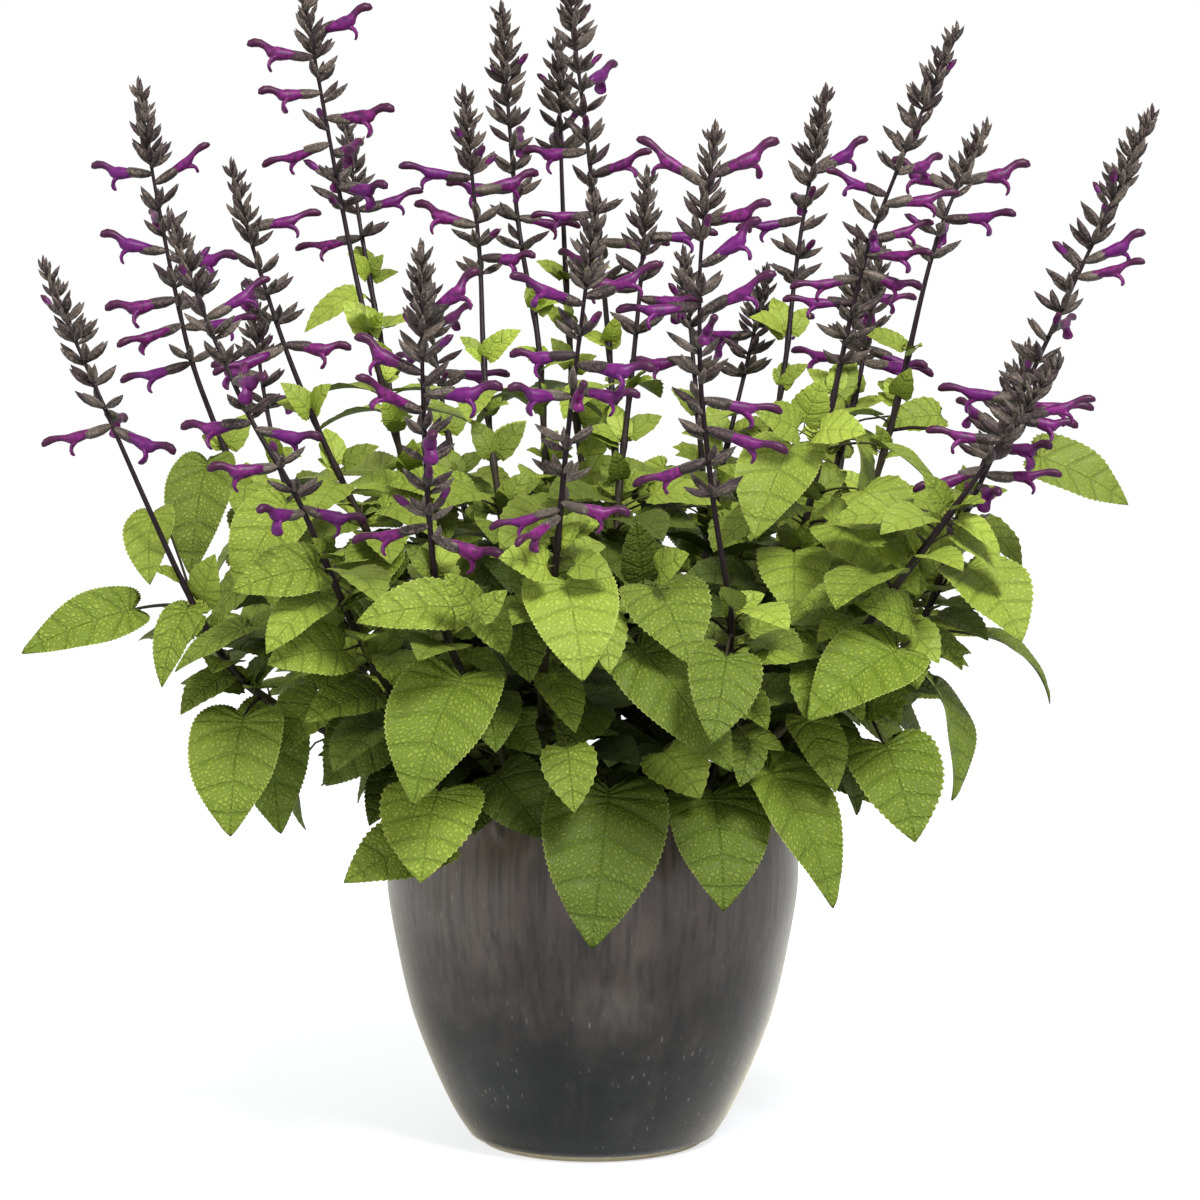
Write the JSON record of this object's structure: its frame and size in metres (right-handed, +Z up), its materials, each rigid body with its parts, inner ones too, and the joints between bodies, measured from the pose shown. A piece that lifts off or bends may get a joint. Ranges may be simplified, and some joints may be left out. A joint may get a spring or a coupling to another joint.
{
  "type": "potted perennial salvia",
  "caption": "Potted perennial salvia: toothed heart-shaped leaves on upright square stems, tall spikes of dark calyces and violet two-lipped flowers, in a glazed pot with a flat foot.",
  "frame": {"origin": "centre of the pot's flat base, on the surface that it stands on", "axes": "+Z up along the pot's axis, front of the plant towards -Y, +X to the right of the front"},
  "size_m": [0.6705, 0.5702, 0.7226],
  "materials": {
    "glaze": "dark charcoal glaze, glossy, with fine vertical streaks and pale specks",
    "clay_foot": "unglazed cream clay, matte",
    "soil": "dark crumbly potting mix of bark and peat, matte",
    "leaf": "soft quilted leaf, satin, lime green when young and mid green when full grown",
    "stem": "square purple-black stem, satin",
    "calyx": "dusty purple-black calyx with fine hairs, matte",
    "petal": "velvety vivid violet petal, satin"
  },
  "bodies": {
    "root": {"pot": "glaze", "soil": "soil", "leafy_stem_01": "leaf", "leafy_stem_02": "leaf", "leafy_stem_03": "leaf", "leafy_stem_04": "leaf", "leafy_stem_05": "leaf", "leafy_stem_06": "leaf", "leafy_stem_07": "leaf", "leafy_stem_08": "leaf", "leafy_stem_09": "leaf", "leafy_stem_10": "leaf", "leafy_stem_11": "leaf", "leafy_stem_12": "leaf", "leafy_stem_13": "leaf", "leafy_stem_14": "leaf", "leafy_stem_15": "leaf", "leafy_stem_16": "leaf", "leafy_stem_17": "leaf", "leafy_stem_18": "leaf", "leafy_stem_19": "leaf", "leafy_stem_20": "leaf", "leafy_stem_21": "leaf", "leafy_stem_22": "leaf", "leafy_stem_23": "leaf", "leafy_stem_24": "leaf", "leafy_stem_25": "leaf", "leafy_stem_26": "leaf", "flower_spike_01": "petal", "flower_spike_02": "petal", "flower_spike_03": "petal", "flower_spike_04": "petal", "flower_spike_05": "petal", "flower_spike_06": "petal", "flower_spike_07": "petal", "flower_spike_08": "petal", "flower_spike_09": "petal", "flower_spike_10": "petal", "flower_spike_11": "petal", "flower_spike_12": "petal", "flower_spike_13": "petal", "flower_spike_14": "petal", "flower_spike_15": "petal", "flower_spike_16": "petal", "flower_spike_17": "petal", "flower_spike_18": "petal", "flower_spike_19": "petal", "flower_spike_20": "petal", "flower_spike_21": "petal", "flower_spike_22": "petal", "flower_spike_23": "petal", "flower_spike_24": "petal", "flower_spike_25": "petal", "flower_spike_26": "petal"}
  },
  "joints": []
}
